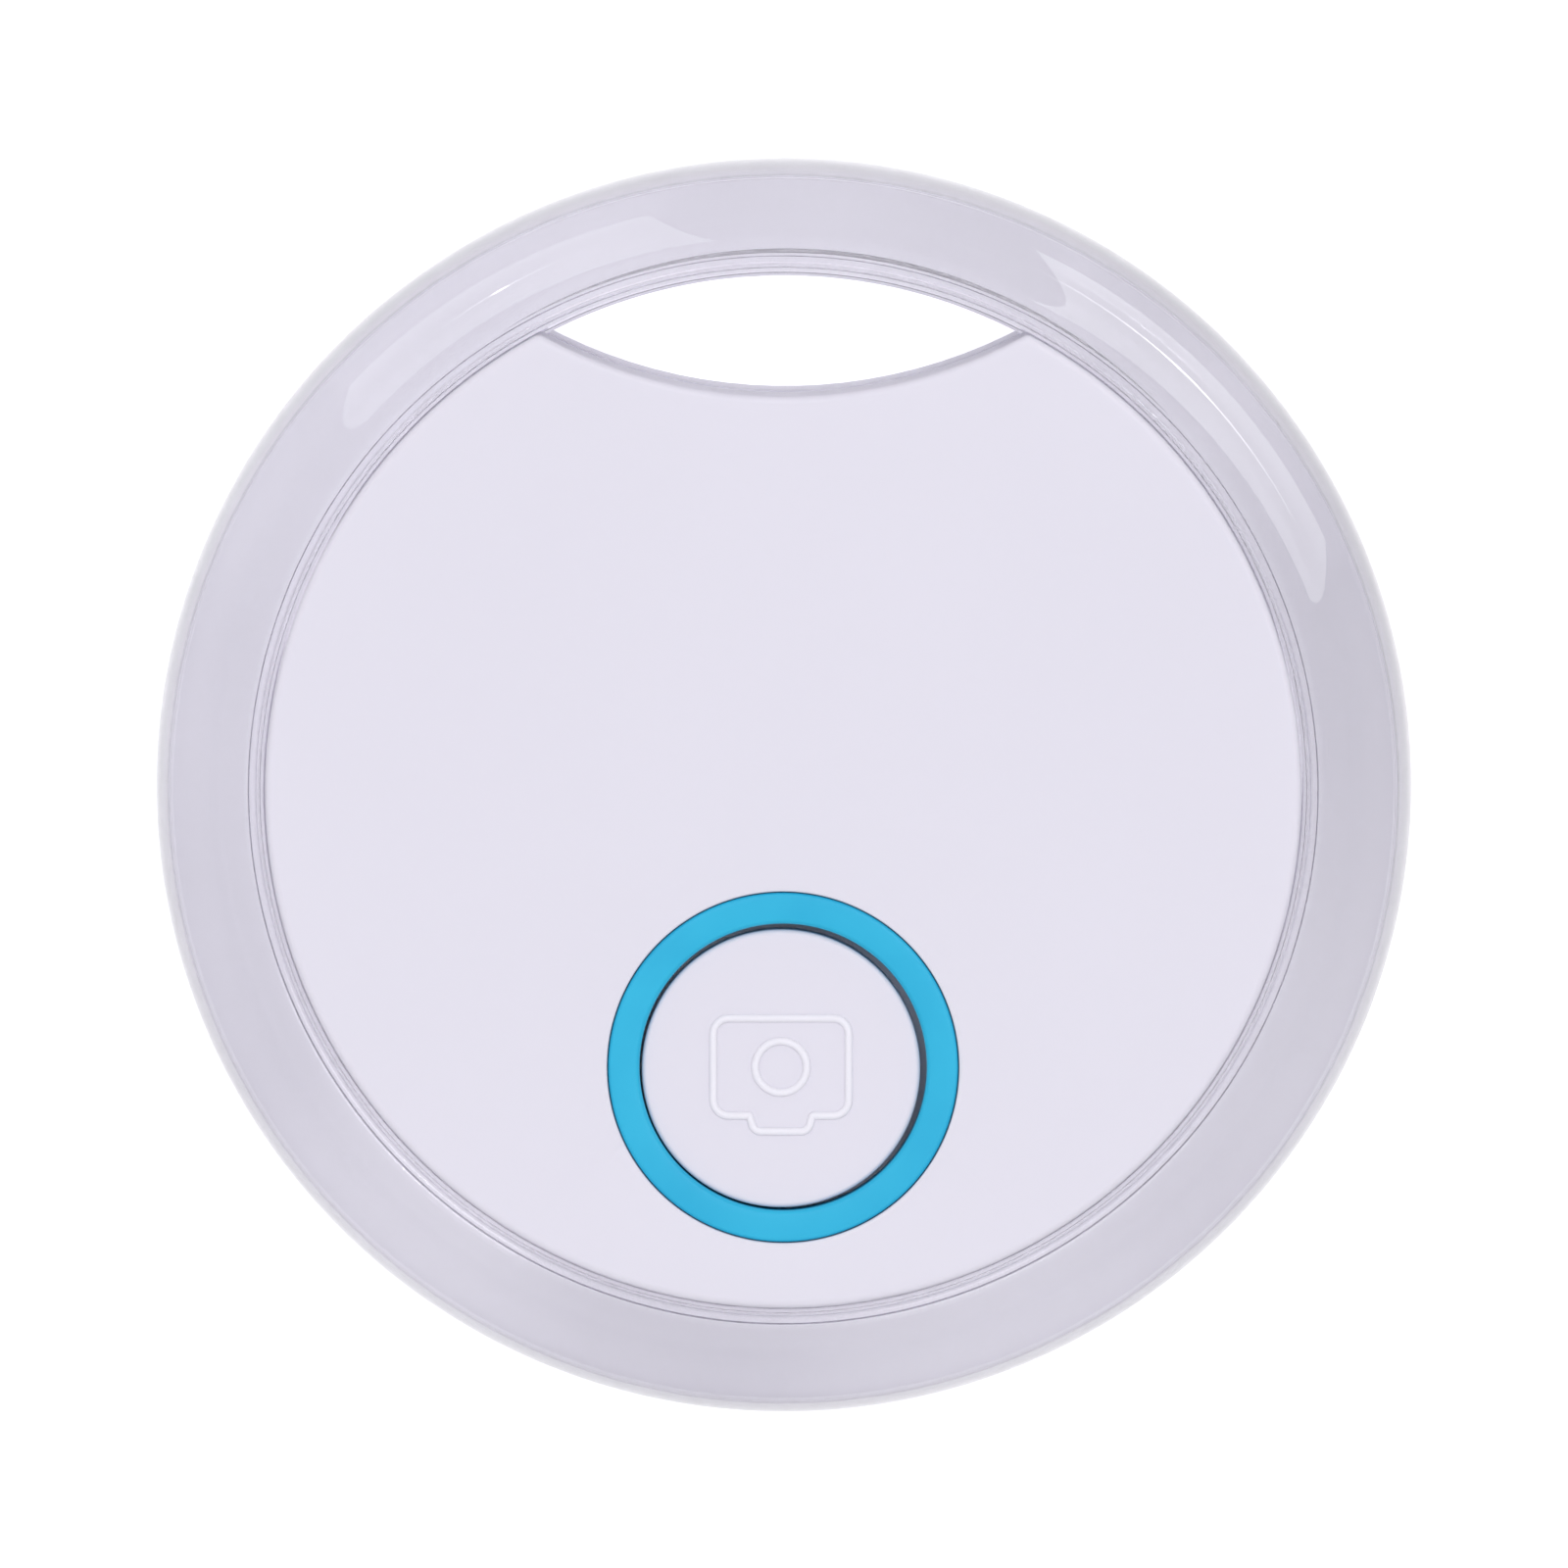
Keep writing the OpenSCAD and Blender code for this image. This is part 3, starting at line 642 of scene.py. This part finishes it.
def make_button():
    """White cap with a softly rounded edge, and the camera symbol as round beads."""
    flange_r = ACCENT_RI + FLANGE_OUT
    flange_top = ACCENT_LOW.z - FLANGE_PLAY
    low = flange_top - CAP_FLANGE_T
    edge = 0.16
    flat_r = CAP_R - edge - 0.2
    roof = CAP_TOP - CAP_WALL
    post_low = STEM_TOP + POST_PLAY
    profile = [(0.0, CAP_TOP), (flat_r, CAP_TOP)]
    profile += arc(CAP_R - edge, CAP_TOP - edge, edge, 90, 0, 10)
    profile += [(CAP_R, flange_top), (flange_r, flange_top), (flange_r, low), (CAP_R - CAP_WALL, low)]
    profile += [(CAP_R - CAP_WALL, roof), (CAP_POST_R, roof)]
    profile += [(CAP_POST_R, post_low), (0.0, post_low)]
    bm = lathe(profile, BUTTON_SEGMENTS, (CAP_X, CAP_Y))
    bmesh.ops.delete(bm, geom=[f for f in bm.faces if f.calc_area() < 1e-9], context="FACES")
    cap = finish_mesh(bm, "button_cap_moulding", WHITE, "button", 40.0)
    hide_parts("button_cap")

    half_w, half_h, corner = 2.15, 1.55, 0.5
    hump, hump_end, hump_low = 1.0, 0.86, 2.05
    hump_foot, hump_round = 0.06, 0.3
    corners = [(-half_w, half_h, corner), (half_w, half_h, corner), (half_w, -half_h, corner),
               (hump, -half_h, hump_foot), (hump_end, -hump_low, hump_round),
               (-hump_end, -hump_low, hump_round), (-hump, -half_h, hump_foot),
               (-half_w, -half_h, corner)]
    path = [(x + CAP_X, y + SYMBOL_Y) for x, y in rounded_path(corners)]
    bead(path, "camera_symbol_outline")
    lens = arc(CAP_X, SYMBOL_Y, LENS_R, 0, 360, 64)[:-1]
    bead(lens, "camera_symbol_lens")


# ---- stage ----

def make_floor():
    """Pale floor, lifted a little by its own light so that it reads as a white page."""
    bpy.ops.mesh.primitive_plane_add(size=FLOOR_SIZE, location=(0, 0, -FLOOR_GAP))
    floor = bpy.context.object
    floor.name = "floor"
    material, tree, shader = new_material("white_page")
    paper = noise(tree, 40.0, detail=2.0)
    tree.links.new(ramp(tree, paper, 0.2, 0.8, (0.90, 0.90, 0.90), (0.92, 0.92, 0.92)),
                   shader.inputs["Base Color"])
    shader.inputs["Roughness"].default_value = 0.9
    shader.inputs["Specular IOR Level"].default_value = 0.1
    shader.inputs["Emission Color"].default_value = (1.0, 1.0, 1.0, 1.0)
    shader.inputs["Emission Strength"].default_value = 0.45
    floor.data.materials.append(material)


def area_light(name, azimuth, power):
    """A lamp that faces the tag, placed by its azimuth clockwise from the lanyard eye in degrees."""
    light = bpy.data.lights.new(name, "AREA")
    light.shape = "RECTANGLE"
    light.size, light.size_y = LAMP_SIZE
    light.energy = power
    lamp = bpy.data.objects.new(name, light)
    bpy.context.scene.collection.objects.link(lamp)
    a, e = math.radians(azimuth), math.radians(LAMP_OFF_AXIS)
    way = Vector((math.sin(a) * math.sin(e), math.cos(a) * math.sin(e), math.cos(e)))
    lamp.location = way * LAMP_DISTANCE
    lamp.rotation_euler = (-way).to_track_quat("-Z", "Y").to_euler()
    lamp.visible_glossy = False
    lamp.visible_transmission = False


def rise(tree, value, edge):
    """0 to 1 as the value passes through zero, over a soft edge of this width."""
    node = tree.nodes.new("ShaderNodeMapRange")
    node.interpolation_type = "SMOOTHSTEP"
    node.inputs["From Min"].default_value = -edge / 2
    node.inputs["From Max"].default_value = edge / 2
    tree.links.new(value, node.inputs["Value"])
    return node.outputs["Result"]


def softbox(tree, azimuth, off_axis, corners):
    """1 inside a four-sided patch of sky; corners run anticlockwise as (azimuth, angle off the axis)."""
    inside = 1.0
    for (a0, b0), (a1, b1) in zip(corners, corners[1:] + corners[:1]):
        length = math.hypot(a1 - a0, b1 - b0)
        na, nb = (b0 - b1) / length, (a1 - a0) / length
        side = calculate(tree, "ADD", calculate(tree, "MULTIPLY", azimuth, na),
                         calculate(tree, "MULTIPLY", off_axis, nb))
        side = calculate(tree, "SUBTRACT", side, na * a0 + nb * b0)
        inside = calculate(tree, "MULTIPLY", inside, rise(tree, side, SOFTBOX_EDGE))
    return inside


def tube_lamp(tree, azimuth, off_axis, middle, half, thick):
    """A thin lamp along the azimuth that fades towards its ends."""
    off_end = calculate(tree, "ABSOLUTE", calculate(tree, "SUBTRACT", azimuth, middle[0]))
    off_line = calculate(tree, "ABSOLUTE", calculate(tree, "SUBTRACT", off_axis, middle[1]))
    along = rise(tree, calculate(tree, "SUBTRACT", half / 2, off_end), half)
    across = rise(tree, calculate(tree, "SUBTRACT", thick / 2, off_line), thick)
    return calculate(tree, "MULTIPLY", along, across)


def make_world():
    """Even studio light, brighter overhead, with two softboxes and their thin lamps."""
    world = bpy.data.worlds.new("studio")
    bpy.context.scene.world = world
    world.use_nodes = True
    tree = world.node_tree
    place = tree.nodes.new("ShaderNodeTexCoord")
    split = tree.nodes.new("ShaderNodeSeparateXYZ")
    tree.links.new(place.outputs["Generated"], split.inputs["Vector"])
    level = tree.nodes.new("ShaderNodeMapRange")
    level.inputs["To Min"].default_value, level.inputs["To Max"].default_value = SKY_LEVELS
    tree.links.new(split.outputs["Z"], level.inputs["Value"])
    turn = calculate(tree, "ARCTAN2", split.outputs["X"], split.outputs["Y"])
    azimuth = calculate(tree, "DEGREES", turn)
    off_axis = calculate(tree, "DEGREES", calculate(tree, "ARCCOSINE", split.outputs["Z"]))
    glow = level.outputs["Result"]
    for corners, power in zip(SOFTBOXES, SOFTBOX_POWERS):
        patch = softbox(tree, azimuth, off_axis, corners)
        glow = calculate(tree, "ADD", glow, calculate(tree, "MULTIPLY", patch, power))
    for middle, half, thick, power in TUBES:
        tube = tube_lamp(tree, azimuth, off_axis, middle, half, thick)
        glow = calculate(tree, "ADD", glow, calculate(tree, "MULTIPLY", tube, power))
    background = tree.nodes["Background"]
    background.inputs["Color"].default_value = (0.985, 0.985, 1.0, 1.0)
    tree.links.new(glow, background.inputs["Strength"])


def make_lights():
    """The softboxes' own light on the tag, seen as reflections only through the world's patches."""
    make_world()
    area_light("softbox_right", 46, 0.10)
    area_light("softbox_left", 331, 0.10)
    area_light("fill_low_left", 235, 0.08)


def make_camera():
    """Long lens over the front face, three degrees towards the lanyard eye."""
    camera = bpy.data.cameras.new("camera")
    obj = bpy.data.objects.new("camera", camera)
    bpy.context.scene.collection.objects.link(obj)
    bpy.context.scene.camera = obj
    field = PICTURE_WIDTH * RING_R * MM
    camera.lens = camera.sensor_width * CAMERA_DISTANCE / field
    way = Vector((math.tan(math.radians(CAMERA_DRIFT)), math.tan(math.radians(CAMERA_LEAN)), 1.0))
    way.normalize()
    target = Vector((0.0, 0.0, MID_Z * MM))
    across = Vector((0.0, 1.0, 0.0)).cross(way).normalized()
    up = way.cross(across)
    obj.matrix_world = Matrix.Translation(target + way * CAMERA_DISTANCE) @ Matrix(
        (across, up, way)).transposed().to_4x4()
    camera.clip_start, camera.clip_end = 0.01, 5.0


dress_cad_nodes()
make_clear_ring()
make_front_shell()
make_accent_ring()
make_button()
make_floor()
make_lights()
make_camera()
bpy.context.scene.view_settings.view_transform = "Standard"
